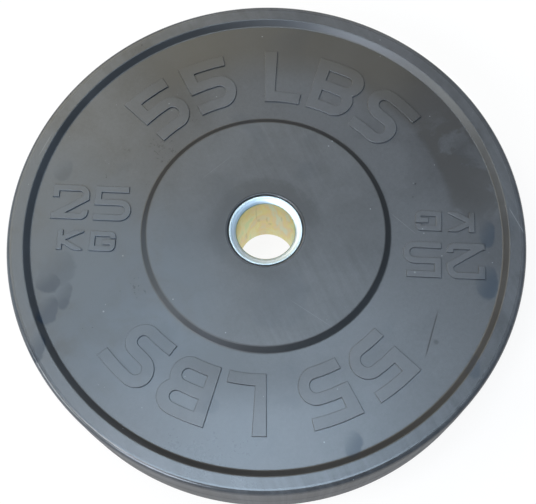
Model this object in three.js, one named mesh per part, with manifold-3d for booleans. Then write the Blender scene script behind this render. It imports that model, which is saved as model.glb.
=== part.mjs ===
// Rubber weight plate for a barbell with 50 mm sleeves, lying flat with its front face up.
// Millimetres, +Z up. The origin is on the plate's axis, in the plane of its back face.
// A moulded rubber body surrounds a steel sleeve, and a steel disc welded to the sleeve
// keys it into the rubber. Nothing on the plate moves.

import * as THREE from 'three';
import { mergeVertices } from 'three/addons/utils/BufferGeometryUtils.js';
import Module from 'manifold-3d';

const wasm = await Module();
wasm.setup();

// The plate's outside
const plateDiameter = 450;
const plateThickness = 84;

// The raised rim and hub, and the sunken web between them, alike on both faces
const rimEdgeRadius = 4.2;
const rimLandWidth = 11;
const rimSlopeWidth = 4.95;
const hubLandDiameter = 207.2;
const hubSlopeWidth = 4.8;
const webDepth = 4.3;

// The steel sleeve that the bar goes through; its end is a chamfer, a flat land and a fine chamfer
const boreDiameter = 51;
const mouthChamfer = 3.2;
const sleeveLandWidth = 2.7;
const sleeveEdgeChamfer = 0.6;
const sleeveSetback = 0.8;

// The rubber's rounded shoulder round each end of the sleeve
const shoulderRadius = 2;
const shoulderWidth = 2.3;

// The disc hidden in the rubber, with holes that the rubber fills
const anchorWidth = 30;
const anchorThickness = 5;
const anchorHoleDiameter = 15;
const anchorHoleCount = 8;
const weldLeg = 5;

// The raised marks on each web, and how far they are sunk into the rubber below it
const markHeight = 1.4;
const markSink = 1.5;

// The large mark, bent round the hub at a distance from the web's inner edge
const arcMarkText = '55 LBS';
const arcMarkSize = { height: 52, stroke: 10.5, width: 43, gap: 8, space: 20 };
const arcMarkToHub = 17.6;

// The small marks left and right, centred on the web but for a shift towards the hub
const numberMarkText = '25';
const numberMarkSize = { height: 32.5, stroke: 6, width: 33, gap: 4.5, space: 15 };
const numberMarkShift = 2.6;
const numberMarkBase = 3.5;
const unitMarkText = 'KG';
const unitMarkSize = { height: 18.5, stroke: 5, width: 23, gap: 5.5, space: 10 };
const unitMarkShift = 1.6;
const unitMarkBase = -25;

// Clearance between pieces that touch, and the overrun of every cut
const fitGap = 0.3;
const cutOverrun = 1;

// Proportions of the characters, as shares of their height or of their stroke
const headBendShare = 0.2;
const footBendShare = 0.12;
const neckShare = 0.62;
const waistShare = 0.53;
const hookShare = 0.5;
const widthShares = { L: 0.86 };

// Two points closer than this are one
const samePlace = 0.001;

// How finely round shapes are divided, and the longest undivided straight in a mark
const markStep = 18;
const turnSegments = 96;
const boreSegments = 64;
const pocketSegments = 48;
const holeSegments = 16;
const edgeSteps = 3;
const cornerSteps = 5;

const plateRadius = plateDiameter / 2;
const rimLandRadius = plateRadius - rimEdgeRadius - rimLandWidth;
const webOuterRadius = rimLandRadius - rimSlopeWidth;
const hubLandRadius = hubLandDiameter / 2;
const webInnerRadius = hubLandRadius + hubSlopeWidth;
const webMiddleRadius = (webInnerRadius + webOuterRadius) / 2;
const boreRadius = boreDiameter / 2;
const sleeveRadius = boreRadius + mouthChamfer + sleeveLandWidth + sleeveEdgeChamfer;
const socketRadius = sleeveRadius + fitGap;
const anchorRadius = socketRadius + anchorWidth;
const weldRadius = socketRadius + weldLeg;
const anchorHoleCircleRadius = (weldRadius + anchorRadius) / 2;
const halfThickness = plateThickness / 2;

// A closed mesh as a solid that can be joined and cut
function toSolid(geometry) {
  const bare = geometry.clone();
  bare.deleteAttribute('normal');
  bare.deleteAttribute('uv');
  const merged = mergeVertices(bare);
  const vertProperties = merged.getAttribute('position').array;
  const triVerts = Uint32Array.from(merged.getIndex().array);
  return new wasm.Manifold(new wasm.Mesh({ numProp: 3, vertProperties, triVerts }));
}

// A solid back as a mesh geometry
function toGeometry(solid) {
  const mesh = solid.getMesh();
  const geometry = new THREE.BufferGeometry();
  geometry.setAttribute('position', new THREE.BufferAttribute(mesh.vertProperties, 3));
  geometry.setIndex(new THREE.BufferAttribute(mesh.triVerts, 1));
  geometry.computeVertexNormals();
  return geometry;
}

// A profile of [radius, height] points turned round the Z axis; it closes on itself
function turned(profile, segments) {
  const points = [...profile, profile[0]].map(([radius, height]) => new THREE.Vector2(radius, height));
  return new THREE.LatheGeometry(points, segments).rotateX(Math.PI / 2);
}

// A quarter round from the top of an outside edge down to its side, as [radius, height] points
function roundedEdge(radius, top, edgeRadius, steps) {
  const points = [];
  for (let step = 0; step <= steps; step += 1) {
    const angle = (Math.PI / 2) * (1 - step / steps);
    const out = radius - edgeRadius + edgeRadius * Math.cos(angle);
    points.push([out, top - edgeRadius + edgeRadius * Math.sin(angle)]);
  }
  return points;
}

// The shoulder that falls from the hub's land to the sleeve's end
function sleeveShoulder(steps) {
  const points = [];
  for (let step = 0; step <= steps; step += 1) {
    const angle = (Math.PI / 2) * (1 - step / steps);
    const inward = socketRadius + shoulderWidth * (1 - Math.cos(angle));
    points.push([inward, plateThickness - shoulderRadius * (1 - Math.sin(angle))]);
  }
  return points.reverse();
}

// One half of the body's profile, from the socket over the hub, web and rim to the side
function faceProfile() {
  return [
    ...sleeveShoulder(edgeSteps),
    [hubLandRadius, plateThickness],
    [webInnerRadius, plateThickness - webDepth],
    [webOuterRadius, plateThickness - webDepth],
    [rimLandRadius, plateThickness],
    ...roundedEdge(plateRadius, plateThickness, rimEdgeRadius, edgeSteps),
  ];
}

// A front half profile, from inside to outside, closed into a ring by its mirror image at the back
function bothFaces(front) {
  const back = front.map(([radius, height]) => [radius, plateThickness - height]).reverse();
  return [...front, ...back].reverse();
}

// The centre lines of each character, in a box of the given width and height
const characters = {
  2(width, height, stroke) {
    const edge = stroke / 2;
    const bend = height * headBendShare;
    const foot = height * footBendShare;
    const hook = stroke * hookShare;
    const head = new THREE.Path();
    head.moveTo(edge, height - stroke - 2 * hook);
    head.lineTo(edge, height - edge);
    head.lineTo(width - edge - bend, height - edge);
    head.absarc(width - edge - bend, height - edge - bend, bend, Math.PI / 2, 0, true);
    head.lineTo(width - edge, height * neckShare);
    head.lineTo(edge, edge);
    const base = new THREE.Path();
    base.moveTo(0, edge);
    base.lineTo(width - edge - foot, edge);
    base.absarc(width - edge - foot, edge + foot, foot, -Math.PI / 2, 0, false);
    base.lineTo(width - edge, stroke + hook);
    return [head, base];
  },
  5(width, height, stroke) {
    const edge = stroke / 2;
    const waist = height * waistShare;
    const bend = (waist - edge) / 2;
    const path = new THREE.Path();
    path.moveTo(width - edge, height - edge);
    path.lineTo(edge, height - edge);
    path.lineTo(edge, waist);
    path.lineTo(width - edge - bend, waist);
    path.absarc(width - edge - bend, waist - bend, bend, Math.PI / 2, -Math.PI / 2, true);
    path.lineTo(0, edge);
    return [path];
  },
  B(width, height, stroke) {
    const edge = stroke / 2;
    const upper = (height / 2 - edge) / 2;
    const stem = new THREE.Path();
    stem.moveTo(edge, 0);
    stem.lineTo(edge, height);
    const bowls = [height / 2 + upper, edge + upper].map((centre) => {
      const bowl = new THREE.Path();
      bowl.moveTo(edge, centre + upper);
      bowl.lineTo(width - edge - upper, centre + upper);
      bowl.absarc(width - edge - upper, centre, upper, Math.PI / 2, -Math.PI / 2, true);
      bowl.lineTo(edge, centre - upper);
      return bowl;
    });
    return [stem, ...bowls];
  },
  G(width, height, stroke) {
    const edge = stroke / 2;
    const bend = edge;
    const bar = height / 2 - edge * hookShare;
    const path = new THREE.Path();
    path.moveTo(width - edge, height - stroke - edge * hookShare);
    path.lineTo(width - edge, height - edge - bend);
    path.absarc(width - edge - bend, height - edge - bend, bend, 0, Math.PI / 2, false);
    path.lineTo(edge, height - edge);
    path.lineTo(edge, edge);
    path.lineTo(width - edge - bend, edge);
    path.absarc(width - edge - bend, edge + bend, bend, -Math.PI / 2, 0, false);
    path.lineTo(width - edge, bar);
    path.lineTo(width / 2, bar);
    return [path];
  },
  K(width, height, stroke) {
    const edge = stroke / 2;
    const stem = new THREE.Path();
    stem.moveTo(edge, 0);
    stem.lineTo(edge, height);
    const arms = [1, -1].map((side) => {
      const arm = new THREE.Path();
      arm.moveTo(edge, height / 2);
      arm.lineTo(width + edge, height / 2 + side * (height / 2 + edge));
      return arm;
    });
    return [stem, ...arms];
  },
  L(width, height, stroke) {
    const edge = stroke / 2;
    const path = new THREE.Path();
    path.moveTo(edge, height);
    path.lineTo(edge, edge);
    path.lineTo(width, edge);
    return [path];
  },
  S(width, height, stroke) {
    const edge = stroke / 2;
    const bend = (height / 2 - edge) / 2;
    const path = new THREE.Path();
    path.moveTo(width, height - edge);
    path.lineTo(edge + bend, height - edge);
    path.absarc(edge + bend, height - edge - bend, bend, Math.PI / 2, (Math.PI * 3) / 2, false);
    path.lineTo(width - edge - bend, height / 2);
    path.absarc(width - edge - bend, edge + bend, bend, Math.PI / 2, -Math.PI / 2, true);
    path.lineTo(0, edge);
    return [path];
  },
};

// Points along a centre line: bends in equal steps, straights in steps no longer than asked
function centreLine(path, longestStep) {
  const points = path.curves.flatMap((curve) => {
    const straightSteps = Math.max(1, Math.ceil(curve.getLength() / longestStep));
    return curve.getPoints(curve instanceof THREE.LineCurve ? straightSteps : cornerSteps);
  });
  return points.filter((point, index) => index === 0 || point.distanceTo(points[index - 1]) > samePlace);
}

// The outline of a stroke of even width along a centre line, with mitred corners
function strokeShape(centres, stroke) {
  const left = [];
  const right = [];
  centres.forEach((point, index) => {
    const from = centres[Math.max(index - 1, 0)];
    const to = centres[Math.min(index + 1, centres.length - 1)];
    const before = point.clone().sub(from).normalize();
    const after = to.clone().sub(point).normalize();
    const along = before.clone().add(after).normalize();
    const mitre = Math.max(along.dot(before), along.dot(after));
    const side = new THREE.Vector2(-along.y, along.x).multiplyScalar(stroke / 2 / mitre);
    left.push(point.clone().add(side));
    right.push(point.clone().sub(side));
  });
  return new THREE.Shape([...right, ...left.reverse()]);
}

// A geometry whose points are moved in plan by a rule that takes and gives [x, y]
function movedInPlan(geometry, rule) {
  const positions = geometry.getAttribute('position');
  for (let index = 0; index < positions.count; index += 1) {
    positions.setXY(index, ...rule(positions.getX(index), positions.getY(index)));
  }
  return geometry;
}

// One raised character as a solid, trimmed to its box and then moved by a rule in plan
function character(letter, width, size, rule) {
  const depth = markSink + markHeight;
  const strokes = characters[letter](width, size.height, size.stroke)
    .map((path) => strokeShape(centreLine(path, markStep), size.stroke))
    .map((shape) => new THREE.ExtrudeGeometry(shape, { depth, bevelEnabled: false }));
  const boxSteps = Math.ceil(width / markStep);
  const box = new THREE.BoxGeometry(width, size.height, depth + 2 * cutOverrun, boxSteps);
  box.translate(width / 2, size.height / 2, depth / 2);
  const whole = strokes
    .map((stroke) => toSolid(movedInPlan(stroke, rule)))
    .reduce((joined, next) => joined.add(next));
  return whole.intersect(toSolid(movedInPlan(box, rule)));
}

// Each character of a text with its width and where it starts, from the middle of the text
function layout(text, size) {
  let start = 0;
  const places = [...text].map((letter) => {
    const width = letter === ' ' ? size.space : size.width * (widthShares[letter] ?? 1);
    const place = { letter, start, width };
    start += width + (letter === ' ' ? 0 : size.gap);
    return place;
  });
  const middleOfText = (start - size.gap) / 2;
  return places
    .filter((place) => place.letter !== ' ')
    .map((place) => ({ ...place, start: place.start - middleOfText }));
}

// A solid moved by a turn about Z and then a shift
function placed(solid, turn, x, y, z) {
  const matrix = new THREE.Matrix4().makeRotationZ(turn).setPosition(x, y, z);
  return solid.transform(matrix.toArray());
}

// A text as one solid, each character placed by its start and a rule that takes and gives [x, y]
function markText(text, size, rule) {
  return layout(text, size)
    .map(({ letter, start, width }) => character(letter, width, size, (x, y) => rule(start + x, y)))
    .reduce((whole, next) => whole.add(next));
}

// The rule for a straight text, centred on x
function straightAt(centre, base) {
  return (x, y) => [centre + x, base + y];
}

// The rule for a text bent round the plate's axis with its feet at a radius, true to size halfway up
function bentRound(footRadius, height) {
  return (x, y) => {
    const angle = Math.PI / 2 - x / (footRadius + height / 2);
    const reach = footRadius + y;
    return [reach * Math.cos(angle), reach * Math.sin(angle)];
  };
}

// Every raised mark of one face, at the height of the front web
function faceMarks() {
  const arcPlace = bentRound(webInnerRadius + arcMarkToHub, arcMarkSize.height);
  const arc = markText(arcMarkText, arcMarkSize, arcPlace);
  const numberPlace = straightAt(numberMarkShift - webMiddleRadius, numberMarkBase);
  const number = markText(numberMarkText, numberMarkSize, numberPlace);
  const unitPlace = straightAt(unitMarkShift - webMiddleRadius, unitMarkBase);
  const unit = markText(unitMarkText, unitMarkSize, unitPlace);
  const half = arc.add(number).add(unit);
  const whole = half.add(placed(half, Math.PI, 0, 0, 0));
  return placed(whole, 0, 0, 0, plateThickness - webDepth - markSink);
}

// The same marks on the back face, as they stand when the plate is turned over
function turnedOver(solid) {
  const over = new THREE.Matrix4().makeRotationX(Math.PI).setPosition(0, 0, plateThickness);
  return solid.transform(over.toArray());
}

// The anchor disc's profile grown by a clearance, with a weld fillet on each side of its bore
function anchorProfile(innerRadius, growth) {
  const half = anchorThickness / 2 + growth;
  const weldEnd = weldRadius + growth;
  const weldTop = half + weldEnd - innerRadius;
  const outerRadius = anchorRadius + growth;
  return [
    [innerRadius, halfThickness - weldTop],
    [weldEnd, halfThickness - half],
    [outerRadius, halfThickness - half],
    [outerRadius, halfThickness + half],
    [weldEnd, halfThickness + half],
    [innerRadius, halfThickness + weldTop],
  ];
}

// Upright round pins on the anchor's hole circle, through the whole disc
function holePins(radius) {
  const length = anchorThickness + 2 * fitGap + 2 * cutOverrun;
  const pins = [];
  for (let index = 0; index < anchorHoleCount; index += 1) {
    const angle = (index / anchorHoleCount) * Math.PI * 2;
    const pin = new THREE.CylinderGeometry(radius, radius, length, holeSegments);
    pin.rotateX(Math.PI / 2);
    pin.translate(anchorHoleCircleRadius, 0, halfThickness);
    pins.push(placed(toSolid(pin), angle, 0, 0, 0));
  }
  return pins.reduce((whole, next) => whole.add(next));
}

// The moulded rubber body, with the anchor's pocket inside and the marks on both webs
function rubberBody() {
  const blank = toSolid(turned(bothFaces(faceProfile()), turnSegments));
  const pocket = toSolid(turned(anchorProfile(socketRadius - cutOverrun, fitGap), pocketSegments));
  const pegs = holePins(anchorHoleDiameter / 2 - fitGap);
  const marks = faceMarks();
  return blank.subtract(pocket.subtract(pegs)).add(marks).add(turnedOver(marks));
}

// The steel sleeve, a tube with a wide chamfer at each mouth and a fine one outside
function hubSleeve() {
  const top = plateThickness - sleeveSetback;
  const upper = [
    [boreRadius, top - mouthChamfer],
    [boreRadius + mouthChamfer, top],
    [sleeveRadius - sleeveEdgeChamfer, top],
    [sleeveRadius, top - sleeveEdgeChamfer],
  ];
  return toSolid(turned(bothFaces(upper), boreSegments));
}

// The anchor disc, with its holes
function anchorDisc() {
  const blank = toSolid(turned(anchorProfile(socketRadius, 0), pocketSegments));
  return blank.subtract(holePins(anchorHoleDiameter / 2));
}

const rubber = new THREE.MeshStandardMaterial({ color: 0x5c6167, roughness: 0.55, metalness: 0 });
const platedSteel = new THREE.MeshStandardMaterial({ color: 0xd6dde2, roughness: 0.28, metalness: 1 });
const bareSteel = new THREE.MeshStandardMaterial({ color: 0x7c7a76, roughness: 0.6, metalness: 1 });

function named(name, solid, material) {
  const mesh = new THREE.Mesh(toGeometry(solid), material);
  mesh.name = name;
  return mesh;
}

const plate = new THREE.Group();
plate.add(named('rubber_body', rubberBody(), rubber));
plate.add(named('hub_sleeve', hubSleeve(), platedSteel));
plate.add(named('anchor_disc', anchorDisc(), bareSteel));

export default plate;
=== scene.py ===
"""The looks of a rubber bumper plate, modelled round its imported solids.

Metres, in the solids' frame: the plate lies flat, its front face up and its axis on Z.
"""
import math

import bmesh
import bpy
from mathutils import Matrix, Vector


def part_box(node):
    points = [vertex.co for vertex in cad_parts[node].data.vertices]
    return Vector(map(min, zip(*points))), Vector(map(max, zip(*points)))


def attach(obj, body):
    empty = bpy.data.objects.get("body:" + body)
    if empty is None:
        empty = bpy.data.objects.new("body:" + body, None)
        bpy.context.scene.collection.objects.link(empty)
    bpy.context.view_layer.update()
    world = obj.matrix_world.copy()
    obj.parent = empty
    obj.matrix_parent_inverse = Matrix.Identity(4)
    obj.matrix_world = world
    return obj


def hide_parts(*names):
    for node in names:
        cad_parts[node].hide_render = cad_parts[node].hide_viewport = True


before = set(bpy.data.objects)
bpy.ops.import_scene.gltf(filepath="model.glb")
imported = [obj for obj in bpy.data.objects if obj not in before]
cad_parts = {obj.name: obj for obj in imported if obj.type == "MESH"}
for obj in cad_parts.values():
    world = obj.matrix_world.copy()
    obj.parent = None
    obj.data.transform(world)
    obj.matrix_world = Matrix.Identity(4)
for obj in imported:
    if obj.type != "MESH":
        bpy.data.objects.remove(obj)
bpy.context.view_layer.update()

MM = 0.001
FULL_TURN = 2 * math.pi

# Points closer than these are one point: after a union, after a spin, and where one is looked up
union_reach = 0.002 * MM
merge_reach = 0.001 * MM
point_reach = 0.03 * MM

# Sizes read from the solids
_, rubber_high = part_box("rubber_body")
_, sleeve_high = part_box("hub_sleeve")
_, disc_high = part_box("anchor_disc")
thickness = rubber_high.z
middle = thickness / 2
plate_radius = rubber_high.x
sleeve_radius = sleeve_high.x
disc_radius = disc_high.x

# Sizes repeated from the part's source
rim_edge_round = 4.2 * MM
rim_land_width = 11 * MM
rim_slope_width = 4.95 * MM
hub_land_radius = 103.6 * MM
hub_slope_width = 4.8 * MM
web_depth = 4.3 * MM
bore_radius = 25.5 * MM
mouth_chamfer = 3.2 * MM
fit_gap = 0.3 * MM
disc_thickness = 5 * MM
weld_leg = 5 * MM

# Sizes worked out from those
socket_radius = sleeve_radius + fit_gap
rim_land_radius = plate_radius - rim_edge_round - rim_land_width
web_outer_radius = rim_land_radius - rim_slope_width
web_inner_radius = hub_land_radius + hub_slope_width
web_top = thickness - web_depth

# The parting line round the side, where the mould's halves met
parting_height = 0.25 * MM
parting_width = 0.5 * MM
parting_foot = 1.8 * MM

# Small roundings of the moulded edges, each with its steps
shoulder_round = (1.6 * MM, 8)
land_edge_round = (0.7 * MM, 4)
web_corner_round = (0.8 * MM, 4)
rim_round = (rim_edge_round, 12)

# Small roundings of the turned steel edges, each with its steps
sleeve_edge_round = (0.5 * MM, 4)
chamfer_edge_round = (0.25 * MM, 3)
land_corner_round = (2.7 * MM, 9)
sharp = (0, 0)

turn_steps = 320
sleeve_steps = 160
smooth_angle = 32

# The raised marks: the large one bent round the hub, and a number over a unit at the side
arc_mark = {"text": "55 LBS", "height": 52 * MM, "stroke": 10.5 * MM, "width": 43 * MM, "gap": 8 * MM}
word_space = 20 * MM
arc_mark_to_hub = 17.6 * MM
number_mark = {"text": "25", "height": 32.5 * MM, "stroke": 6 * MM, "width": 33 * MM, "gap": 4.5 * MM}
number_shift = 2.6 * MM
number_base = 3.5 * MM
unit_mark = {"text": "KG", "height": 18.5 * MM, "stroke": 5 * MM, "width": 23 * MM, "gap": 5.5 * MM}
unit_shift = 1.6 * MM
unit_base = -25 * MM

# The side of a mark, and how finely its strokes are drawn
mark_height = 1.4 * MM
mark_root = 1 * MM
mark_edge_round = 0.45 * MM
mark_edge_steps = 5
mark_draft = 0.1 * MM
bend_steps = 14
longest_straight = 12 * MM
shortest_straight = 0.01 * MM

# Directions from a bend's centre, in degrees
to_right = 0
to_top = 90
to_foot = -90
to_foot_by_left = 270

# Shares of a mark's height, or of its stroke, that shape its characters
two_bend_share = 0.2
two_neck_share = 0.62
two_foot_share = 0.12
two_start_strokes = 2
two_end_strokes = 1.5
five_waist_share = 0.53
g_bend_strokes = 0.58
g_end_strokes = 1.3
g_bar_drop_strokes = 0.125
narrow_shares = {"L": 0.86}


# Modelling helpers

def start_piece(name, add, **settings):
    """A new object made by a primitive's operator, alone selected and active."""
    if bpy.context.object and bpy.context.object.mode != "OBJECT":
        bpy.ops.object.mode_set(mode="OBJECT")
    bpy.ops.object.select_all(action="DESELECT")
    add(**settings)
    piece = bpy.context.object
    piece.name = name
    piece.data.name = name
    return piece


def make_active(piece):
    """Selects one object alone and makes it the active one."""
    bpy.ops.object.select_all(action="DESELECT")
    piece.select_set(True)
    bpy.context.view_layer.objects.active = piece


def apply_modifier(piece, kind, **settings):
    """Adds a modifier with its settings and applies it at once."""
    make_active(piece)
    modifier = piece.modifiers.new(kind.title(), kind)
    for setting, value in settings.items():
        setattr(modifier, setting, value)
    bpy.ops.object.modifier_apply(modifier=modifier.name)


def copy_of(piece, name, matrix):
    """A copy with a mesh of its own, moved by a matrix."""
    copy = piece.copy()
    copy.data = piece.data.copy()
    copy.name = name
    copy.data.name = name
    copy.data.transform(matrix)
    bpy.context.scene.collection.objects.link(copy)
    return copy


def joined(pieces):
    """Several objects as one, under the first one's name."""
    make_active(pieces[0])
    for piece in pieces[1:]:
        piece.select_set(True)
    bpy.ops.object.join()
    return pieces[0]


def united(piece, other, operation="UNION"):
    """Adds the other closed piece to a closed piece, or keeps what both share, and removes the other."""
    apply_modifier(piece, "BOOLEAN", operation=operation, solver="EXACT", object=other)
    bpy.data.objects.remove(other)
    bpy.ops.object.mode_set(mode="EDIT")
    bpy.ops.mesh.select_all(action="SELECT")
    bpy.ops.mesh.remove_doubles(threshold=union_reach)
    bpy.ops.mesh.dissolve_degenerate(threshold=union_reach)
    bpy.ops.object.mode_set(mode="OBJECT")
    return piece


def select_points(piece, is_chosen):
    """Selects, in edit mode, the points that a rule on their place picks."""
    shape = bmesh.from_edit_mesh(piece.data)
    for element in [*shape.verts, *shape.edges, *shape.faces]:
        element.select = False
    for point in shape.verts:
        point.select = is_chosen(point.co)
    bmesh.update_edit_mesh(piece.data)


def turned_piece(name, corners, steps):
    """A ring turned round Z from the corners of its section, each (radius, height, rounding, steps)."""
    piece = start_piece(name, bpy.ops.mesh.primitive_plane_add, size=MM)
    bpy.ops.object.mode_set(mode="EDIT")
    bpy.ops.mesh.select_mode(type="VERT")
    bpy.ops.mesh.merge(type="CENTER")
    places = [Vector((radius, 0, height)) for radius, height, *_ in corners]
    bpy.ops.transform.translate(value=places[0])
    for before, after in zip(places, places[1:]):
        bpy.ops.mesh.extrude_vertices_move(TRANSFORM_OT_translate={"value": after - before})
    ends = (places[0], places[-1])
    select_points(piece, lambda place: min((place - end).length for end in ends) < point_reach)
    bpy.ops.mesh.edge_face_add()
    for place, (_, _, rounding, round_steps) in zip(places, corners):
        if rounding:
            select_points(piece, lambda point, corner=place: (point - corner).length < point_reach)
            bpy.ops.mesh.bevel(offset=rounding, segments=round_steps, affect="VERTICES")
    bpy.ops.mesh.select_all(action="SELECT")
    bpy.ops.mesh.spin(steps=steps, angle=FULL_TURN, center=(0, 0, 0), axis=(0, 0, 1))
    bpy.ops.mesh.select_all(action="SELECT")
    bpy.ops.mesh.remove_doubles(threshold=merge_reach)
    bpy.ops.mesh.normals_make_consistent(inside=False)
    bpy.ops.object.mode_set(mode="OBJECT")
    return piece


def smooth_finish(piece):
    """Smooth shading on rounded edges, with the flats kept flat."""
    make_active(piece)
    bpy.ops.object.shade_smooth_by_angle(angle=math.radians(smooth_angle))
    apply_modifier(piece, "WEIGHTED_NORMAL", keep_sharp=True, weight=100)


# Shader helpers

noise_mean = 0.5

# The Mix node's sockets for colours, by their places in its lists
mix_factor = 0
mix_first_colour = 6
mix_second_colour = 7
mix_colour_output = 2

# The wandering outline of a smear, and the way it fades
smear_wander = {"scale": 70, "detail": 3}
smear_wander_share = 0.9
smear_wander_low = 0.45
smear_edge = (1.12, 0.84)
smear_lean = 0.7
smear_fade = (-1.3, 0.6)

# The share of a scratch's length that fades at each end, and of its width that stays whole
scratch_ends = 0.2
scratch_core = 0.25


def span(across, along):
    """How far away a point is that lies so far across and along."""
    return (across * across + along * along) ** 0.5


class Shade:
    """A shader value: arithmetic on it adds Math nodes to its finish."""

    def __init__(self, finish, socket):
        self.finish = finish
        self.socket = socket

    def maths(self, operation, *values):
        """A Math node's result for its values."""
        return self.finish.node("ShaderNodeMath", {"operation": operation}, dict(enumerate(values)))

    def __add__(self, other):
        return self.maths("ADD", self, other)

    def __radd__(self, other):
        return self.maths("ADD", other, self)

    def __sub__(self, other):
        return self.maths("SUBTRACT", self, other)

    def __rsub__(self, other):
        return self.maths("SUBTRACT", other, self)

    def __mul__(self, other):
        return self.maths("MULTIPLY", self, other)

    def __rmul__(self, other):
        return self.maths("MULTIPLY", other, self)

    def __truediv__(self, other):
        return self.maths("DIVIDE", self, other)

    def __pow__(self, other):
        return self.maths("POWER", self, other)

    def __abs__(self):
        return self.maths("ABSOLUTE", self)

    def least(self, other):
        return self.maths("MINIMUM", self, other)

    def most(self, other):
        return self.maths("MAXIMUM", self, other)

    def swing(self):
        """The swing of a noise about its mean."""
        return self - noise_mean

    def within(self, low, high, softness):
        """1 between low and high, fading out over the softness on either side."""
        return self.rises(low - softness, low) * self.rises(high + softness, high)

    def rises(self, start, end):
        """0 below start and 1 above end, or the other way round where end is the lower one."""
        settings = {"interpolation_type": "SMOOTHSTEP"}
        if start < end:
            limits = {"From Min": start, "From Max": end, "To Min": 0, "To Max": 1}
        else:
            limits = {"From Min": end, "From Max": start, "To Min": 1, "To Max": 0}
        return self.finish.node("ShaderNodeMapRange", settings, {"Value": self, **limits}, "Result")

    def keeps(self, share, start, end):
        """As rises, but with a share of the 1 kept where rises gives 0."""
        return self.rises(start, end) * (1 - share) + share


class Nodes:
    """The nodes of one material or world."""

    def __init__(self, owner):
        owner.use_nodes = True
        self.tree = owner.node_tree

    def node(self, kind, settings, values, output=0):
        """Adds a node, sets it up, fills or links its inputs and gives one output."""
        made = self.tree.nodes.new(kind)
        for setting, value in settings.items():
            if setting == "stops":
                self.set_stops(made.color_ramp, value)
            else:
                setattr(made, setting, value)
        for socket, value in values.items():
            if isinstance(value, Shade):
                self.tree.links.new(value.socket, made.inputs[socket])
            else:
                made.inputs[socket].default_value = value
        return Shade(self, made.outputs[output])

    def set_stops(self, ramp, stops):
        """Gives a colour ramp its (position, colour) stops."""
        while len(ramp.elements) < len(stops):
            ramp.elements.new(1)
        for element, (position, colour) in zip(ramp.elements, stops):
            element.position = position
            element.color = (*colour, 1)

    def split(self, vector):
        """The three parts of a vector."""
        return [self.node("ShaderNodeSeparateXYZ", {}, {0: vector}, part) for part in "XYZ"]

    def vector(self, x, y, z):
        """A vector from three values."""
        return self.node("ShaderNodeCombineXYZ", {}, {0: x, 1: y, 2: z})

    def mix(self, share, first, second):
        """Two colours mixed by a share of the second."""
        first, second = [colour if isinstance(colour, Shade) else (*colour, 1) for colour in (first, second)]
        values = {mix_factor: share, mix_first_colour: first, mix_second_colour: second}
        return self.node("ShaderNodeMix", {"data_type": "RGBA"}, values, mix_colour_output)

    def ramp(self, value, stops):
        """A colour read from stops along a value."""
        return self.node("ShaderNodeValToRGB", {"stops": stops}, {0: value}, "Color")

    def link(self, value, node_name, socket):
        """Links a value to a socket of a node that was there from the start."""
        self.tree.links.new(value.socket, self.tree.nodes[node_name].inputs[socket])


class Finish(Nodes):
    """A material built round one Principled shader, with helpers that add its nodes."""

    def __init__(self, name, **constants):
        self.material = bpy.data.materials.new(name)
        super().__init__(self.material)
        self.shader = self.tree.nodes["Principled BSDF"]
        for socket, value in constants.items():
            self.shader.inputs[socket.replace("_", " ")].default_value = value
        self.place = self.node("ShaderNodeTexCoord", {}, {}, "Object")
        self.x, self.y, self.z = self.split(self.place)
        self.radius = span(self.x, self.y)
        self.angle = self.y.maths("ARCTAN2", self.y, self.x)

    def noise(self, scale=1, detail=3, roughness=0.5, distortion=0, at=None):
        """Noise of a given number of features per metre, or per unit of another vector."""
        values = {"Vector": at or self.place, "Scale": scale, "Detail": detail}
        values.update({"Roughness": roughness, "Distortion": distortion})
        return self.node("ShaderNodeTexNoise", {"noise_dimensions": "3D"}, values, "Fac")

    def drawn_noise(self, values, counts, **settings):
        """Noise over three values, each with its own number of features per unit."""
        at = self.vector(*(value * count for value, count in zip(values, counts)))
        return self.noise(at=at, **settings)

    def sector(self, start, end):
        """1 between two directions from the axis, each a pair of angles that it fades over."""
        return self.angle.rises(*start) * self.angle.rises(*end)

    def from_place(self, x, y):
        """How far a point lies across and along from a place in millimetres."""
        return self.x - x * MM, self.y - y * MM

    def spot(self, x, y, reach, softness):
        """A soft round spot of 1 on the faces, in millimetres."""
        distance = span(*self.from_place(x, y))
        return distance.rises((reach + softness / 2) * MM, (reach - softness / 2) * MM)

    def smear(self, x, y, half_width, half_height):
        """A hand's mark on the faces, crisp at its lower right, fading to its upper left, in millimetres."""
        across, along = self.from_place(x, y)
        across = across / (half_width * MM)
        along = along / (half_height * MM)
        wander = self.noise(**smear_wander) * smear_wander_share - smear_wander_low
        distance = span(across, along) + wander
        lean = (across - along) * smear_lean
        return distance.rises(*smear_edge) * lean.rises(*smear_fade)

    def scratch(self, start, end, half_width):
        """A thin straight mark of 1 on the faces, from start to end, in millimetres."""
        run = Vector(end) - Vector(start)
        length = run.length * MM
        way = run.normalized()
        from_x, from_y = self.from_place(*start)
        along = from_x * way.x + from_y * way.y
        across = abs(from_x * way.y - from_y * way.x)
        within = along.rises(0, length * scratch_ends) * along.rises(length, length * (1 - scratch_ends))
        return across.rises(half_width * MM, half_width * MM * scratch_core) * within

    def wear(self, **sockets):
        """Links the values that change over the surface to the shader's sockets."""
        for socket, value in sockets.items():
            self.tree.links.new(value.socket, self.shader.inputs[socket.replace("_", " ")])

    def bump(self, height, strength, distance):
        """The surface raised by a height, for the shader's normal."""
        values = {"Height": height, "Strength": strength, "Distance": distance}
        return self.node("ShaderNodeBump", {}, values, "Normal")


# The rubber body

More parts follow.
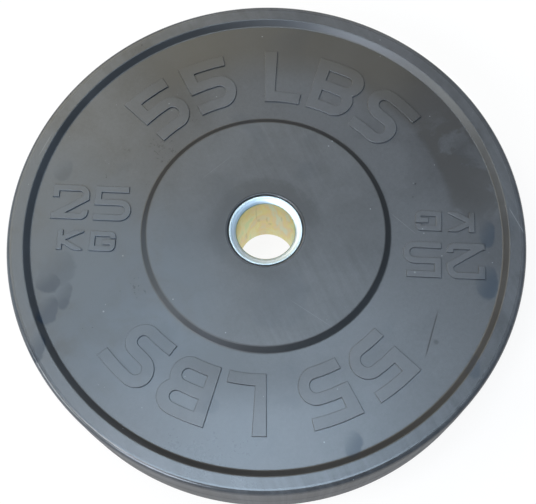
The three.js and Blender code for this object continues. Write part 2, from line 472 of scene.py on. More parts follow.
def rubber_section():
    """The corners of the rubber's section, from the disc's pocket over the front to the back."""
    side = plate_radius - parting_height
    pocket_top = middle + disc_thickness / 2 + fit_gap
    weld_end = socket_radius + weld_leg + fit_gap
    upper = [
        (disc_radius + fit_gap, pocket_top, *sharp),
        (weld_end, pocket_top, *sharp),
        (socket_radius, pocket_top + weld_end - socket_radius, *sharp),
        (socket_radius, thickness, *shoulder_round),
        (hub_land_radius, thickness, *land_edge_round),
        (web_inner_radius, web_top, *web_corner_round),
        (web_outer_radius, web_top, *web_corner_round),
        (rim_land_radius, thickness, *land_edge_round),
        (side, thickness, *rim_round),
        (side, middle + parting_foot / 2, *sharp),
        (plate_radius, middle + parting_width / 2, *sharp),
    ]
    lower = [(radius, thickness - height, *rounding) for radius, height, *rounding in reversed(upper)]
    return [*upper, *lower]


class Pen:
    """Draws the middle line of one stroke of a mark, with straights and round bends."""

    def __init__(self, x, y):
        self.points = [Vector((x, y))]

    def line(self, x, y):
        """A straight to (x, y), in steps short enough to be bent round the axis."""
        start = self.points[-1]
        run = Vector((x, y)) - start
        steps = max(1, math.ceil(run.length / longest_straight))
        self.points += [start + run * (step / steps) for step in range(1, steps + 1)]
        return self

    def bend(self, x, y, radius, start, end):
        """A round bend about (x, y), between two directions in degrees."""
        for step in range(bend_steps + 1):
            angle = math.radians(start + (end - start) * step / bend_steps)
            point = Vector((x + radius * math.cos(angle), y + radius * math.sin(angle)))
            if (point - self.points[-1]).length > shortest_straight:
                self.points.append(point)
        return self


# Each character's strokes, in a box w wide and h high from its lower left corner

def mark_two(w, h, stroke):
    edge = stroke / 2
    bend = h * two_bend_share
    foot = h * two_foot_share
    head = Pen(edge, h - stroke * two_start_strokes).line(edge, h - edge).line(w - edge - bend, h - edge)
    head.bend(w - edge - bend, h - edge - bend, bend, to_top, to_right)
    head.line(w - edge, h * two_neck_share).line(edge, edge)
    base = Pen(0, edge).line(w - edge - foot, edge)
    base.bend(w - edge - foot, edge + foot, foot, to_foot, to_right)
    base.line(w - edge, stroke * two_end_strokes)
    return [head, base]


def mark_five(w, h, stroke):
    edge = stroke / 2
    waist = h * five_waist_share
    bend = (waist - edge) / 2
    path = Pen(w - edge, h - edge).line(edge, h - edge).line(edge, waist).line(w - edge - bend, waist)
    return [path.bend(w - edge - bend, waist - bend, bend, to_top, to_foot).line(0, edge)]


def mark_b(w, h, stroke):
    edge = stroke / 2
    bend = (h / 2 - edge) / 2
    strokes = [Pen(edge, 0).line(edge, h)]
    for centre in (h / 2 + bend, edge + bend):
        bowl = Pen(edge, centre + bend).line(w - edge - bend, centre + bend)
        bowl.bend(w - edge - bend, centre, bend, to_top, to_foot).line(edge, centre - bend)
        strokes.append(bowl)
    return strokes


def mark_g(w, h, stroke):
    edge = stroke / 2
    bar = h / 2 - stroke * g_bar_drop_strokes
    bend = stroke * g_bend_strokes
    turn_x = w - edge - bend
    path = Pen(w - edge, h - stroke * g_end_strokes).line(w - edge, h - edge - bend)
    path.bend(turn_x, h - edge - bend, bend, to_right, to_top).line(edge, h - edge).line(edge, edge)
    path.line(turn_x, edge).bend(turn_x, edge + bend, bend, to_foot, to_right)
    return [path.line(w - edge, bar).line(w / 2, bar)]


def mark_k(w, h, stroke):
    edge = stroke / 2
    arms = [Pen(edge, h / 2).line(w + edge, h / 2 + side * (h / 2 + edge)) for side in (1, -1)]
    return [Pen(edge, 0).line(edge, h), *arms]


def mark_l(w, h, stroke):
    edge = stroke / 2
    return [Pen(edge, h).line(edge, edge).line(w, edge)]


def mark_s(w, h, stroke):
    edge = stroke / 2
    bend = (h / 2 - edge) / 2
    path = Pen(w, h - edge).line(edge + bend, h - edge)
    path.bend(edge + bend, h - edge - bend, bend, to_top, to_foot_by_left).line(w - edge - bend, h / 2)
    return [path.bend(w - edge - bend, edge + bend, bend, to_top, to_foot).line(0, edge)]


characters = {"2": mark_two, "5": mark_five, "B": mark_b, "G": mark_g, "K": mark_k, "L": mark_l, "S": mark_s}


def mark_side():
    """The side of a mark from its root up, as (inset, height): a steep draft, then a round edge."""
    levels = [(0, -mark_root)]
    for step in range(mark_edge_steps + 1):
        angle = math.pi / 2 * step / mark_edge_steps
        inset = mark_draft + mark_edge_round * (1 - math.cos(angle))
        levels.append((inset, mark_height - mark_edge_round * (1 - math.sin(angle))))
    return levels


def stroke_rows(points, stroke, inset):
    """The two edges of a stroke along its middle line, with mitred corners, drawn in by an inset."""
    left = []
    right = []
    last = len(points) - 1
    for index, point in enumerate(points):
        before = (point - points[max(index - 1, 0)]).normalized()
        after = (points[min(index + 1, last)] - point).normalized()
        along = (before + after).normalized()
        mitre = max(along.dot(before), along.dot(after))
        side = Vector((-along.y, along.x)) * ((stroke / 2 - inset) / mitre)
        pull = along * inset * ((index == 0) - (index == last))
        left.append(point + side + pull)
        right.append(point - side + pull)
    return [*right, *left]


def raised_stroke(name, points, stroke, rule):
    """A stroke of even width, with the sides of a mark, moved in plan by a rule."""
    levels = []
    for inset, height in mark_side():
        rows = [rule(*place) for place in stroke_rows(points, stroke, inset)]
        levels.append([Vector((x, y, web_top + height)) for x, y in rows])
    grid = {"x_subdivisions": len(points) - 1, "y_subdivisions": 1, "size": 1}
    piece = start_piece(name, bpy.ops.mesh.primitive_grid_add, **grid)
    corners = sorted(piece.data.vertices, key=lambda vertex: (vertex.co.y, vertex.co.x))
    for vertex, place in zip(corners, levels[0]):
        vertex.co = place
    bpy.ops.object.mode_set(mode="EDIT")
    bpy.ops.mesh.select_all(action="SELECT")
    for below, above in zip(levels, levels[1:]):
        bpy.ops.mesh.extrude_region_move()
        shape = bmesh.from_edit_mesh(piece.data)
        lifted = [vertex for vertex in shape.verts if vertex.select]
        for vertex in lifted:
            nearest = min(range(len(below)), key=lambda index: (below[index] - vertex.co).length_squared)
            vertex.co = above[nearest]
        bmesh.update_edit_mesh(piece.data)
    bpy.ops.mesh.select_all(action="SELECT")
    bpy.ops.mesh.normals_make_consistent(inside=False)
    bpy.ops.object.mode_set(mode="OBJECT")
    return piece


def raised_character(letter, width, mark, rule):
    """One raised character, its strokes united; the arms of a K are trimmed to its box."""
    pens = characters[letter](width, mark["height"], mark["stroke"])
    strokes = [raised_stroke("mark_stroke", pen.points, mark["stroke"], rule) for pen in pens]
    whole = strokes[0]
    for stroke in strokes[1:]:
        whole = united(whole, stroke)
    if letter == "K":
        across = Pen(0, mark["height"] / 2).line(width, mark["height"] / 2)
        whole = united(whole, raised_stroke("mark_trim", across.points, mark["height"], rule), "INTERSECT")
    return whole


def raised_text(mark, rule):
    """Every character of a mark as one object, centred on x = 0 before the rule moves it."""
    places = []
    start = 0
    for letter in mark["text"]:
        if letter == " ":
            start += word_space
            continue
        width = mark["width"] * narrow_shares.get(letter, 1)
        places.append((letter, start, width))
        start += width + mark["gap"]
    centre = (start - mark["gap"]) / 2
    pieces = []
    for letter, left, width in places:
        shift = left - centre
        pieces.append(raised_character(letter, width, mark, lambda x, y, dx=shift: rule(x + dx, y)))
    return joined(pieces)


def bent_round(x, y):
    """A place on the large mark, bent round the axis with its feet towards the hub."""
    foot = web_inner_radius + arc_mark_to_hub
    angle = math.pi / 2 - x / (foot + arc_mark["height"] / 2)
    return (foot + y) * math.cos(angle), (foot + y) * math.sin(angle)


def face_marks():
    """Every raised mark of the front face, as one object."""
    web_middle = (web_inner_radius + web_outer_radius) / 2
    arc = raised_text(arc_mark, bent_round)
    number = raised_text(number_mark, lambda x, y: (x + number_shift - web_middle, y + number_base))
    unit = raised_text(unit_mark, lambda x, y: (x + unit_shift - web_middle, y + unit_base))
    half = joined([arc, number, unit])
    half.name = "marks"
    return joined([half, copy_of(half, "marks_opposite", Matrix.Rotation(math.pi, 4, "Z"))])


def rubber_body():
    """The moulded body, with the marks of both faces united with it."""
    body = turned_piece("rubber_plate", rubber_section(), turn_steps)
    marks = face_marks()
    over = Matrix.Translation((0, 0, thickness)) @ Matrix.Rotation(math.pi, 4, "X")
    back_marks = copy_of(marks, "back_marks", over)
    body = united(body, joined([marks, back_marks]))
    smooth_finish(body)
    return body


# The steel sleeve

def steel_sleeve():
    """The turned sleeve, with its chamfers and finely broken edges."""
    top = sleeve_high.z
    upper = [
        (bore_radius, top - mouth_chamfer, *chamfer_edge_round),
        (bore_radius + mouth_chamfer, top, *land_corner_round),
        (sleeve_radius, top, *sleeve_edge_round),
    ]
    lower = [(radius, thickness - height, *rounding) for radius, height, *rounding in reversed(upper)]
    sleeve = turned_piece("steel_sleeve", [*upper, *lower], sleeve_steps)
    smooth_finish(sleeve)
    return sleeve


# Finishes

# The rubber's colours
clean_rubber = (0.027, 0.0262, 0.0262)
hazed_rubber = (0.062, 0.0625, 0.065)
worn_rubber = (0.034, 0.03, 0.026)
browned_rubber = (0.044, 0.037, 0.027)
# A painted blue sheen of reflected sky, laid on the rubber at the left
painted_blue_sheen = (0.05, 0.062, 0.076)
# Painted shade for the slopes of the recesses
slope_shade_rubber = (0.018, 0.017, 0.016)
smeared_rubber = (0.008, 0.016, 0.028)
dust_colour = (0.3, 0.31, 0.31)
gouge_colour = (0.012, 0.012, 0.014)

# How strongly each of those covers what is under it
worn_cover = 0.5
browned_cover = 0.75
slope_shade_cover = 0.5
smear_cover = 0.9
gouge_cover = 0.85

# The most haze before its texture is added, and the most that shows with it
even_haze_limit = 0.98
most_haze = 1.5
thickest_haze = [clean + (hazed - clean) * most_haze for clean, hazed in zip(clean_rubber, hazed_rubber)]

# Noises over the rubber, from wide clouds to fine grain
cloud_noise = {"scale": 9, "detail": 4, "roughness": 0.55, "distortion": 0.6}
patch_noise = {"scale": 30, "detail": 4, "roughness": 0.6, "distortion": 0.5}
fine_noise = {"scale": 330, "detail": 3, "roughness": 0.65}
grain_noise = {"scale": 1500, "detail": 2}

# Rings of the rubber, each as the radii between which it comes in
form_softness = 1.5 * MM
side_ring = (plate_radius - 1.2 * MM, plate_radius - 0.3 * MM)
edge_ring = (plate_radius - 6 * MM, plate_radius - 5 * MM)
shoulder_ring = (36 * MM, 34.5 * MM)
collar_ring = (54 * MM, 36 * MM)
collar_edge_ring = (49.5 * MM, 47.5 * MM)
inner_web_ring = (168 * MM, 125 * MM)
worn_ring = (161 * MM, 169 * MM)
browned_ring = (140 * MM, 185 * MM)

# Sectors of the faces, as the angles between which each comes in, and goes out
worn_sector = ((0.02, 0.24), (1.3, 0.75))
blotched_angles = (0.85, 0.5)
browned_sector = ((0.7, 1.05), (2.35, 1.9))
bare_rim_sector = ((-1.5, -1.25), (-0.1, -0.35))

# Straight bands across the faces, as the places on X or Y between which each comes in
right_band = (-30 * MM, 70 * MM)
low_band = (-60 * MM, -125 * MM)
cutter_band = (-150 * MM, 60 * MM)
collar_band = (-20 * MM, 25 * MM)
collar_edge_band = (0, 25 * MM)

# Heights between which the front's own wear comes in, and those above a web for a mark's top
front_fade = (thickness - 40 * MM, thickness - 8 * MM)
mark_top_low = 0.5 * MM
mark_top_high = 1.2 * MM

# Painted shade round the sleeve, as less haze, and the patches in the worn web
collar_least = 0.55
collar_far_share = 0.3
collar_edge_share = 0.25
blotch_levels = (0.5, 0.62)

# Lines of the cutter that faced the mould's lands, as ((across, along) counts per metre, share, noise)
cutter_turn = math.radians(28)
cutter_lines = (
    ((210, 8), 2.6, {"detail": 2, "roughness": 0.4}),
    ((620, 16), 1.6, {"detail": 3, "roughness": 0.7}),
)
cutter_area_noise = {"scale": 11, "detail": 1, "distortion": 0.3}
cutter_area_levels = (0.36, 0.62)
cutter_least_area = 0.2
cutter_rim_area = 0.55

# Dark smears that hands left, in millimetres: (x, y, half width, half height, strength)
smear_places = (
    (-181, -80, 9, 14, 1.5),
    (-169, -66, 7, 13, 1.1),
    (-184, -55, 11, 10, 1.2),
    (-178, -42, 16, 17, 0.5),
    (-183, 50, 9, 10, 0.4),
    (-186, -113, 8, 13, 1.0),
    (191, 7, 7, 14, 0.7),
    (190, -38, 9, 16, 0.85),
    (176, -112, 6, 12, 0.5),
    (80, -180, 7, 12, 0.9),
    (-42, -152, 12, 9, 0.3),
    (12, -60, 26, 30, 0.22),
    (-58, 12, 38, 44, 0.2),
)
smear_patch_levels = (0.75, 0.45)
smear_least = 0.5
faint_smear_noise = {"scale": 16, "detail": 2, "distortion": 0.5}
faint_smear_levels = (0.6, 0.72)
faint_smear_strength = 0.16

# Wide soft changes of the haze, and places of a painted blue sheen of reflected sky, in millimetres: (x, y,
# reach, softness, amount)
haze_places = (
    (165, -65, 45, 60, 0.32),
    (75, 172, 35, 60, 0.35),
    (-100, 155, 45, 70, -0.6),
    (-125, 0, 20, 40, -0.15),
    (-40, 0, 12, 20, -0.2),
    (-162, -95, 45, 60, -0.3),
    (80, 0, 26, 40, -0.18),
    (181, 84, 17, 20, -0.6),
)
lower_left_place = (-150, -150, 110, 90)
blue_sheen_places = ((-195, 0, 70, 60, 0.5), (-128, -70, 85, 90, 0.75))
blue_sheen_patch_levels = (0.2, 0.6)
blue_sheen_least = 0.4

# Pale dust all over, single specks as (x, y, reach), and scuffs as (start, end, half width, strength)
dust_count = 110
dust_reach = (0.075, 0.035)
dust_noise = {"scale": 70, "detail": 0}
dust_levels = (0.62, 0.68)
dust_strength = 0.6
speck_places = ((-133.5, -78.5, 0.7), (-122, -28, 0.6), (55, 87, 0.6), (52, 82, 0.6), (129, -32, 0.7))
speck_strength = 0.45
scuff_places = (
    ((209.3, 31.1), (223.5, 4.6), 0.5, 0.32),
    ((108, 22), (132, 2), 0.3, 0.2),
    ((-206, 60), (-196, 84), 0.4, 0.2),
    ((20, -60), (66, -88), 0.3, 0.12),
    ((-60, 44), (-32, 70), 0.3, 0.1),
)

# One dark gouge, as (start, end, half width), with a wider pit on it
gouge_line = ((149.5, -62), (137.5, -108), 0.85)
gouge_pit = (147, -92, 2, 2)
gouge_pit_strength = 0.6

# The rubber's constants, and what each thing adds to haze, texture, roughness and relief
rubber_surface = {"IOR": 1.5, "Specular_IOR_Level": 0.56}
haze_base = 0.62
haze_shares = {
    "cloud": 1.2,
    "patch": 0.85,
    # Painted shade: less haze, so darker, on the recesses' slopes
    "slopes": -0.55,
    "marks": 0.2,
    "rim": 0.3,
    "rim_patch": 0.9,
    "rim_lower_left": 0.3,
    "rim_bare": -0.5,
    "web_right": 0.4,
    "web_low": -0.6,
    "web_lower_left": -0.25,
    "places": 1,
    "worn_web": -0.55,
    "blotches": 0.5,
    # Painted shade: less haze round the sleeve
    "collar_shade": -0.65,
    "smears": -0.3,
}
texture_shares = {"cutter": 0.26, "fine": 0.6, "grain": 0.6}
rubber_roughness = 0.29
roughness_shares = {
    "cloud": 0.06,
    "patch": 0.04,
    "fine": 0.04,
    "cutter": -0.015,
    "slopes": 0.1,
    "marks": 0.035,
    "hub": 0.08,
    "web_low_all": 0.04,
    "worn_web": 0.03,
    "smears": 0.06,
    "gouge": 0.3,
    "shoulder": -0.13,
    "edge": -0.1,
    "side": 0.4,
}
relief_shares = {"grain": 0.5, "fine": 0.5, "cutter": 0.5, "gouge": -2}
rubber_relief = {"strength": 0.25, "distance": 0.12 * MM}


def weighed(parts, shares, base=0):
    """The base and every part that has a share, times its share."""
    total = base
    for name, share in shares.items():
        total = parts[name] * share + total
    return total


def rubber_forms(finish):
    """The rubber's own forms by name, each 1 where it is whole."""
    radius, z = finish.radius, finish.z
    web = radius.within(web_inner_radius, web_outer_radius, form_softness)
    inner_slope = radius.within(hub_land_radius, web_inner_radius, form_softness)
    outer_slope = radius.within(web_outer_radius, rim_land_radius, form_softness)
    front_marks = z.rises(web_top + mark_top_low, web_top + mark_top_high)
    back_marks = z.rises(web_depth - mark_top_low, web_depth - mark_top_high)
    return {
        "front": z.rises(*front_fade),
        "web": web,
        "slopes": inner_slope + outer_slope,
        "marks": web * (front_marks + back_marks),
        "all_rim": radius.rises(web_outer_radius, rim_land_radius),
        "hub": radius.rises(web_inner_radius, hub_land_radius),
        "side": radius.rises(*side_ring),
        "edge": radius.rises(*edge_ring),
        "shoulder": radius.rises(*shoulder_ring),
        "inner_web": radius.rises(*inner_web_ring) * web,
    }


def cutter_marks(finish, lands, rim):
    """Straight lines on the lands, where the cutter that faced the mould went, about 0."""
    across = finish.x * math.cos(cutter_turn) + finish.y * math.sin(cutter_turn)
    along = finish.y * math.cos(cutter_turn) - finish.x * math.sin(cutter_turn)
    lines = 0
    for counts, share, settings in cutter_lines:
        lines = finish.drawn_noise((across, along, 0), (*counts, 0), **settings).swing() * share + lines
    area = finish.noise(**cutter_area_noise).rises(*cutter_area_levels) * finish.x.rises(*cutter_band)
    return lines * lands * (area + cutter_least_area + rim * cutter_rim_area)


def hand_smears(finish, patch):
    """Dark smears, faint ones all over and the strongest ones in their places."""
    smears = finish.noise(**faint_smear_noise).rises(*faint_smear_levels) * faint_smear_strength
    broken = patch.keeps(smear_least, *smear_patch_levels)
    for *place, strength in smear_places:
        smears = smears.most(finish.smear(*place) * broken * strength)
    return smears


def pale_dust(finish, front):
    """Dust, specks and light scuffs."""
    settings = {"Vector": finish.place, "Scale": dust_count}
    dots = finish.node("ShaderNodeTexVoronoi", {"feature": "F1"}, settings, "Distance")
    dust = dots.rises(*dust_reach) * finish.noise(**dust_noise).rises(*dust_levels) * dust_strength
    for x, y, reach in speck_places:
        dust = dust.most(finish.spot(x, y, reach, reach) * speck_strength * front)
    for *line, strength in scuff_places:
        dust = dust.most(finish.scratch(*line) * strength * front)
    return dust


def rubber_finish():
    """Moulded rubber, satin under a thin uneven haze, with cutter lines, smears, dust and scuffs, painted
    shade and a painted blue sheen.
    """
    finish = Finish("moulded_rubber", **rubber_surface)
    x, y, radius = finish.x, finish.y, finish.radius
    parts = rubber_forms(finish)
    front = parts["front"]
    patch = finish.noise(**patch_noise)
    parts["patch"] = patch.swing()
    parts["cloud"] = finish.noise(**cloud_noise).swing()
    parts["fine"] = finish.noise(**fine_noise).swing()
    parts["grain"] = finish.noise(**grain_noise).swing()
    parts["cutter"] = cutter_marks(finish, 1 - parts["web"] - parts["slopes"], parts["all_rim"])
    parts["smears"] = hand_smears(finish, patch) * front * (1 - parts["side"])

    # Where the haze is thin: the outer web at one side; round the sleeve it is thinned as painted shade
    front_web = parts["web"] * front
    parts["worn_web"] = radius.rises(*worn_ring) * finish.sector(*worn_sector) * front_web
    blotches = patch.rises(*blotch_levels) * finish.angle.rises(*blotched_angles)
    parts["blotches"] = blotches * parts["worn_web"]
    browned = radius.rises(*browned_ring) * finish.sector(*browned_sector) * front_web
    collar_shade = radius.rises(*collar_ring) * (y.rises(*collar_band) * collar_far_share + collar_least)
    collar_shade = collar_shade + radius.rises(*collar_edge_ring) * y.rises(*collar_edge_band) * collar_edge_share
    parts["collar_shade"] = collar_shade * front

    # Where it is thick: the rim's land, except at one side, and the inner web at the right
    lower_left = finish.spot(*lower_left_place)
    parts["rim"] = parts["all_rim"] * front
    parts["rim_patch"] = parts["rim"] * parts["patch"]
    parts["rim_lower_left"] = parts["rim"] * lower_left
    parts["rim_bare"] = parts["rim"] * finish.sector(*bare_rim_sector)
    parts["web_right"] = parts["inner_web"] * front * x.rises(*right_band)
    parts["web_low_all"] = parts["inner_web"] * y.rises(*low_band)
    parts["web_low"] = parts["web_low_all"] * front
    parts["web_lower_left"] = front_web * lower_left
    places = 0
    for *place, amount in haze_places:
        places = finish.spot(*place) * amount + places
    parts["places"] = places * front

    haze = weighed(parts, haze_shares, haze_base).least(even_haze_limit)
    haze = (haze + weighed(parts, texture_shares)).most(0)
    tone = finish.mix(haze / most_haze, clean_rubber, thickest_haze)
    tone = finish.mix(parts["worn_web"] * (1 - parts["blotches"]) * worn_cover, tone, worn_rubber)
    tone = finish.mix(browned * browned_cover, tone, browned_rubber)
    # Painted reflection: a blue sheen of sky at the left, broken up by the patch noise
    blue_sheen_patch = patch.keeps(blue_sheen_least, *blue_sheen_patch_levels)
    for *place, amount in blue_sheen_places:
        tone = finish.mix(finish.spot(*place) * front * amount * blue_sheen_patch, tone, painted_blue_sheen)
    # Painted shade: the recesses' slopes darker
    tone = finish.mix(parts["slopes"] * slope_shade_cover, tone, slope_shade_rubber)
    tone = finish.mix(parts["smears"] * smear_cover, tone, smeared_rubber)
    tone = finish.mix(pale_dust(finish, front), tone, dust_colour)
    gouge = finish.scratch(*gouge_line).most(finish.spot(*gouge_pit) * gouge_pit_strength)
    parts["gouge"] = gouge * front
    tone = finish.mix(parts["gouge"] * gouge_cover, tone, gouge_colour)

    roughness = weighed(parts, roughness_shares, rubber_roughness)
    relief = finish.bump(weighed(parts, relief_shares), **rubber_relief)
    finish.wear(Base_Color=tone, Roughness=roughness, Normal=relief)
    return finish.material


# Yellow passivation in the bore, as stops of a ramp, and what greys and stains it
bore_stops = (
    (0.34, (0.82, 0.86, 0.42)),
    (0.44, (1.0, 0.88, 0.44)),
    (0.54, (1.0, 0.8, 0.28)),
    (0.62, (1.0, 0.72, 0.34)),
    (0.72, (0.84, 0.83, 0.6)),
)
greyed_yellow = (0.92, 0.83, 0.52)
greyed_levels = (0.52, 0.68)
greyed_share = 0.5
stain_colour = (0.46, 0.38, 0.17)

# Stains in the bore, in millimetres: (angle in degrees, depth below the front, half width, half height)
stain_places = (
    (113, 24, 0.7, 16),
    (109, 41, 1.6, 4),
    (92, 42, 0.9, 7),
    (86, 52, 2, 3),
    (140, 62, 1.2, 9),
    (60, 30, 1, 6),
)
stain_bend = 0.5
stain_edge = (1.5, 0.1)
stain_strength = 0.32
drip_stain_levels = (0.66, 0.74)
drip_stain_strength = 0.3

# Bright zinc on the chamfer, tinted blue partly by passivation and partly as painted sky reflection, duller
# on the land, with painted shade as a dark tint at the bore's mouth
bright_zinc_sky_tinted = (0.88, 0.95, 1.0)
dull_zinc_sky_tinted = (0.76, 0.86, 0.94)
dull_levels = (0.4, 0.7)
land_zinc = (0.43, 0.5, 0.53)
land_ring = (bore_radius + 2.6 * MM, bore_radius + 4.4 * MM)
# Painted shade: a dark line where the chamfer meets the bore
painted_mouth_shade = (0.22, 0.36, 0.36)
mouth_shade_cover = 0.7
bore_ring = (bore_radius + 0.5 * MM, bore_radius + 0.2 * MM)
mouth_radius = bore_radius + 0.35 * MM
mouth_reach = (0.55 * MM, 0.15 * MM)

# The plated steel's constants, and the noises over it
steel_surface = {"Metallic": 1.0}
steel_blotch_noise = {"scale": 60, "detail": 3, "roughness": 0.6, "distortion": 0.8}
tint_noise = {"counts": (44, 44, 15), "detail": 2, "distortion": 1.2}
drip_noise = {"counts": (260, 260, 26), "detail": 3, "roughness": 0.6}
drip_tint = 0.35
facing_noise = {"counts": (2600, 3, 60), "detail": 2}
tick_noise = {"counts": (40, 90, 0), "detail": 1}
tick_relief = 0.3
blotch_relief = 0.3
drip_relief = 0.3
steel_relief = {"strength": 0.3, "distance": 0.05 * MM}
steel_roughness = 0.42
steel_roughness_blotch = 0.1
steel_roughness_bore = 0.02


def bore_stains(finish, drips):
    """Brown stains on the bore's wall, curved runs in their places and faint drips all over."""
    stains = drips.rises(*drip_stain_levels) * drip_stain_strength
    for degrees, depth, half_width, half_height in stain_places:
        across = (finish.angle - math.radians(degrees)) * (bore_radius / (half_width * MM))
        along = (finish.z - (thickness - depth * MM)) / (half_height * MM)
        bent = across + along * along * stain_bend
        stains = stains.most((bent * bent + along * along).rises(*stain_edge) * stain_strength)
    return stains


def plated_steel_finish():
    """Bright zinc on the sleeve's ends, yellow passivation in the bore."""
    finish = Finish("plated_steel", **steel_surface)
    radius, angle, z = finish.radius, finish.angle, finish.z
    place = (finish.x, finish.y, z)
    in_bore = radius.rises(*bore_ring)
    mouth_shade = abs(radius - mouth_radius).rises(*mouth_reach)
    blotch = finish.noise(**steel_blotch_noise)
    tint = finish.drawn_noise(place, **tint_noise)
    drips = finish.drawn_noise(place, **drip_noise)

    yellow = finish.ramp(tint + drips.swing() * drip_tint, bore_stops)
    yellow = finish.mix(blotch.rises(*greyed_levels) * greyed_share, yellow, greyed_yellow)
    yellow = finish.mix(bore_stains(finish, drips), yellow, stain_colour)
    # The blue tint is partly the passivation's own and partly a painted reflection of the sky
    silver = finish.mix(blotch.rises(*dull_levels), bright_zinc_sky_tinted, dull_zinc_sky_tinted)
    silver = finish.mix(radius.rises(*land_ring), silver, land_zinc)
    tone = finish.mix(in_bore, silver, yellow)
    # Painted shade: the dark line at the bore's mouth
    tone = finish.mix(mouth_shade * mouth_shade_cover, tone, painted_mouth_shade)

    turned = finish.drawn_noise((radius, angle, z), **facing_noise)
    turned = turned + finish.drawn_noise((angle, radius, 0), **tick_noise) * tick_relief
    coated = blotch * blotch_relief + drips * drip_relief
    relief = finish.bump(turned * (1 - in_bore) + coated * in_bore, **steel_relief)
    roughness = blotch * steel_roughness_blotch + in_bore * steel_roughness_bore + steel_roughness
    finish.wear(Base_Color=tone, Roughness=roughness, Normal=relief)
    return finish.material


# Mill scale on the bare disc
scale_surface = {"Metallic": 0.9}
scale_noise = {"scale": 120, "detail": 4, "roughness": 0.65}
scale_levels = (0.35, 0.7)
scale_dark = (0.14, 0.13, 0.125)
scale_pale = (0.24, 0.235, 0.23)
scale_roughness = 0.5
scale_roughness_share = 0.2
scale_relief = {"strength": 0.3, "distance": 0.1 * MM}


def bare_steel_finish():
    """Bare steel plate with mill scale."""
    finish = Finish("bare_steel", **scale_surface)
    scale = finish.noise(**scale_noise)
    tone = finish.mix(scale.rises(*scale_levels), scale_dark, scale_pale)
    roughness = scale * scale_roughness_share + scale_roughness
    finish.wear(Base_Color=tone, Roughness=roughness, Normal=finish.bump(scale, **scale_relief))
    return finish.material


def dress(piece, material):
    """Gives a piece its only material and the record's slot."""
    piece.data.materials.clear()
    piece.data.materials.append(material)
    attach(piece, "root")


rubber = rubber_body()
dress(rubber, rubber_finish())
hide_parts("rubber_body")

sleeve = steel_sleeve()
dress(sleeve, plated_steel_finish())
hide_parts("hub_sleeve")

disc_material = bare_steel_finish()
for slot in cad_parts["anchor_disc"].material_slots:
    slot.material = disc_material


# The floor, the lamps, the world and the camera

floor_size = 60
floor_drop = 0.1 * MM
floor_surface = {"Roughness": 0.9, "Specular_IOR_Level": 0.1}
floor_glow = 0.9
floor_white = (0.84, 0.81, 0.77)
white = (1, 1, 1, 1)
lamp_distance = 4

# Lamps as (name, azimuth, elevation, half angle, radiance, colour), in degrees
softboxes = (
    ("overhead_softbox", 112, 85, 10.9, 11.5, (0.58, 0.76, 0.95)),
    ("left_softbox", 202, 32, 11, 8.3, (0.95, 1.0, 1.0)),
    ("left_front_softbox", 237, 43, 11, 16.5, (0.75, 0.85, 1.0)),
    ("high_left_softbox", 200, 69, 7, 17, (0.95, 0.97, 1.0)),
    ("right_softbox", 10, 60, 18, 0.6, (0.5, 0.75, 1.0)),
    ("back_right_softbox", 85, 38, 15, 1.0, (1.0, 0.95, 0.8)),
    ("back_softbox", 134, 47, 22.2, 2.5, (1.0, 0.94, 0.73)),
)

# The world's colours, and the azimuth and elevation that two of them lie at
warm_side = (0.2, 0.15, 0.12)
cool_side = (0.16, 0.26, 0.38)
cool_direction = (-40, 8)
pale_band = (0.7, 0.8, 0.85)
pale_direction = (188, 4)
pale_levels = (0.8, 0.98)

# The camera, turned about the plate's axis; its distance and shifts are from the front face's centre
image_width = 536
focal_pixels = 1003
camera_elevation = 70.5
camera_turn = 5
camera_roll = -2.27
camera_distance = 867 * MM
camera_aside = 1.3 * MM
camera_up = -19.4 * MM
sensor_width = 36
nearest_seen = 10 * MM


def direction(azimuth, elevation):
    """The unit vector that points to a place in the sky, given in degrees."""
    turn = math.radians(azimuth)
    rise = math.radians(elevation)
    return Vector((math.cos(rise) * math.cos(turn), math.cos(rise) * math.sin(turn), math.sin(rise)))


def pale_floor():
    """A plain white floor that keeps the plate's shadow."""
    place = (0, 0, -floor_drop)
    floor = start_piece("floor", bpy.ops.mesh.primitive_plane_add, size=floor_size, location=place)
    finish = Finish("floor_white", **floor_surface)
    finish.shader.inputs["Base Color"].default_value = (*floor_white, 1)
    seen = 0
    for kind in ("Is Camera Ray", "Is Glossy Ray", "Is Transmission Ray"):
        seen = finish.node("ShaderNodeLightPath", {}, {}, kind).most(seen)
    glow = finish.node("ShaderNodeEmission", {}, {"Color": white, "Strength": 1}, "Emission")
    painted = Shade(finish, finish.shader.outputs["BSDF"])
    surface = finish.node("ShaderNodeMixShader", {}, {0: seen * floor_glow, 1: painted, 2: glow}, "Shader")
    finish.link(surface, "Material Output", "Surface")
    floor.data.materials.append(finish.material)


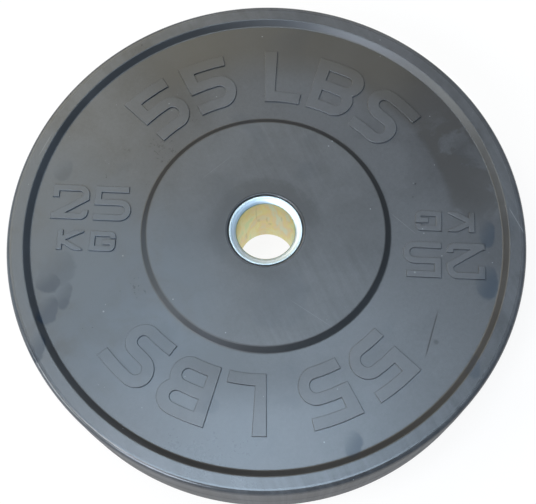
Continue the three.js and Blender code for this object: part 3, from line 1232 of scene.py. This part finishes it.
def softbox(name, azimuth, elevation, half_angle, radiance, colour):
    """A round lamp of a given brightness and apparent size that faces the plate's centre."""
    lamp = bpy.data.lights.new(name, "AREA")
    lamp.shape = "DISK"
    lamp.size = 2 * lamp_distance * math.tan(math.radians(half_angle))
    lamp.energy = radiance * math.pi * math.pi * (lamp.size / 2) ** 2
    lamp.color = colour
    holder = bpy.data.objects.new(name, lamp)
    bpy.context.scene.collection.objects.link(holder)
    away = direction(azimuth, elevation)
    holder.location = Vector((0, 0, thickness)) + away * lamp_distance
    holder.rotation_euler = away.to_track_quat("Z", "Y").to_euler()


def soft_world():
    """Dim light from all round, cooler on the camera's side, with a pale band low at the left."""
    world = bpy.data.worlds.new("studio")
    bpy.context.scene.world = world
    nodes = Nodes(world)
    place = nodes.node("ShaderNodeTexCoord", {}, {}, "Generated")
    toward = []
    for turn, rise in (cool_direction, pale_direction):
        values = {0: place, 1: direction(turn, rise)}
        toward.append(nodes.node("ShaderNodeVectorMath", {"operation": "DOT_PRODUCT"}, values, "Value"))
    sky = nodes.mix((toward[0] + 1) / 2, warm_side, cool_side)
    sky = nodes.mix(toward[1].rises(*pale_levels), sky, pale_band)
    nodes.link(sky, "Background", "Color")


def photo_camera():
    """The camera at the photograph's viewing angle."""
    elevation = math.radians(camera_elevation)
    roll = math.radians(camera_roll)
    back = Vector((0, -math.cos(elevation), math.sin(elevation)))
    right = Vector((1, 0, 0))
    up = back.cross(right)
    place = back * camera_distance + right * camera_aside + up * camera_up
    rolled_right = math.cos(roll) * right + math.sin(roll) * up
    rolled_up = -math.sin(roll) * right + math.cos(roll) * up
    axes = Matrix((rolled_right, rolled_up, back)).transposed().to_4x4()
    turn = Matrix.Rotation(math.radians(camera_turn), 4, "Z")
    onto_plate = Matrix.Translation((0, 0, thickness)) @ turn
    camera = bpy.data.cameras.new("camera")
    camera.sensor_width = sensor_width
    camera.lens = sensor_width * focal_pixels / image_width
    camera.clip_start = nearest_seen
    holder = bpy.data.objects.new("camera", camera)
    bpy.context.scene.collection.objects.link(holder)
    holder.matrix_world = onto_plate @ Matrix.Translation(place) @ axes
    bpy.context.scene.camera = holder


pale_floor()
for lamp in softboxes:
    softbox(*lamp)
soft_world()
photo_camera()
bpy.context.scene.view_settings.view_transform = "Standard"
